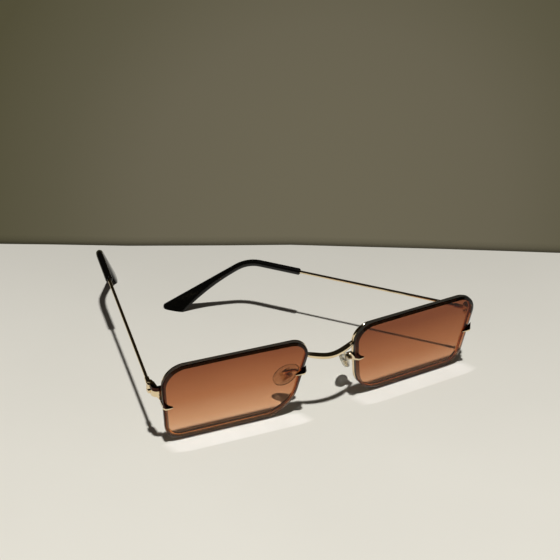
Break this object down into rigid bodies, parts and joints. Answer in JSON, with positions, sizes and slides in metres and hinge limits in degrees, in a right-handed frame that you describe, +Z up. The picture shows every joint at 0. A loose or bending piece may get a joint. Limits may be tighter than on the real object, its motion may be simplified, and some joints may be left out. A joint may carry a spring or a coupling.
{
  "type": "rectangular sunglasses",
  "caption": "Narrow rectangular sunglasses with bevelled tinted lenses, claw mounts, wire rims, rocking nose pads and folding wire temples with plastic tips.",
  "frame": {"origin": "On the table, under the middle of the pair's bounding box: midway between the hinges, and midway between the front of the lenses and the end of the right tip.", "axes": "+Z up from the table, -Y the way the lenses face, +X towards the wearer's left"},
  "size_m": [0.1404, 0.1335, 0.0352],
  "materials": {
    "gold_metal": "polished pale gold",
    "tinted_lens": "clear plastic, brown tint that fades towards the bottom",
    "black_tip": "gloss black",
    "clear_pad": "clear silicone"
  },
  "bodies": {
    "front": {"bridge": "gold_metal", "right_lens": "tinted_lens", "right_rim": "gold_metal", "right_nose_claw": "gold_metal", "right_temple_claw": "gold_metal", "right_end_piece": "gold_metal", "right_hinge_front": "gold_metal", "right_hinge_screw": "gold_metal", "right_pad_arm": "gold_metal", "right_pad_box": "gold_metal", "right_pad_screw": "gold_metal", "left_lens": "tinted_lens", "left_rim": "gold_metal", "left_nose_claw": "gold_metal", "left_temple_claw": "gold_metal", "left_end_piece": "gold_metal", "left_hinge_front": "gold_metal", "left_hinge_screw": "gold_metal", "left_pad_arm": "gold_metal", "left_pad_box": "gold_metal", "left_pad_screw": "gold_metal"},
    "right_arm": {"right_hinge_back": "gold_metal", "right_temple_wire": "gold_metal", "right_temple_tip": "black_tip"},
    "left_arm": {"left_hinge_back": "gold_metal", "left_temple_wire": "gold_metal", "left_temple_tip": "black_tip"},
    "right_pad": {"right_pad_core": "gold_metal", "right_nose_pad": "clear_pad"},
    "left_pad": {"left_pad_core": "gold_metal", "left_nose_pad": "clear_pad"}
  },
  "joints": [
    {"name": "right_fold", "type": "hinge", "parent": "front", "child": "right_arm", "pos_m": [-0.06895, -0.05449, 0.02328], "axis": [0, 0, -1], "range_deg": [-5.7, 31]},
    {"name": "left_fold", "type": "hinge", "parent": "front", "child": "left_arm", "pos_m": [0.06895, -0.05449, 0.02328], "axis": [0, 0, 1], "range_deg": [-39.8, 38]},
    {"name": "right_pad_rock", "type": "hinge", "parent": "front", "child": "right_pad", "pos_m": [-0.0138, -0.05632, 0.01551], "axis": [-0.1601, 0.7609, 0.6288], "range_deg": [-8, 8]},
    {"name": "left_pad_rock", "type": "hinge", "parent": "front", "child": "left_pad", "pos_m": [0.0138, -0.05632, 0.01551], "axis": [0.1601, 0.7609, 0.6288], "range_deg": [-8, 8]}
  ]
}
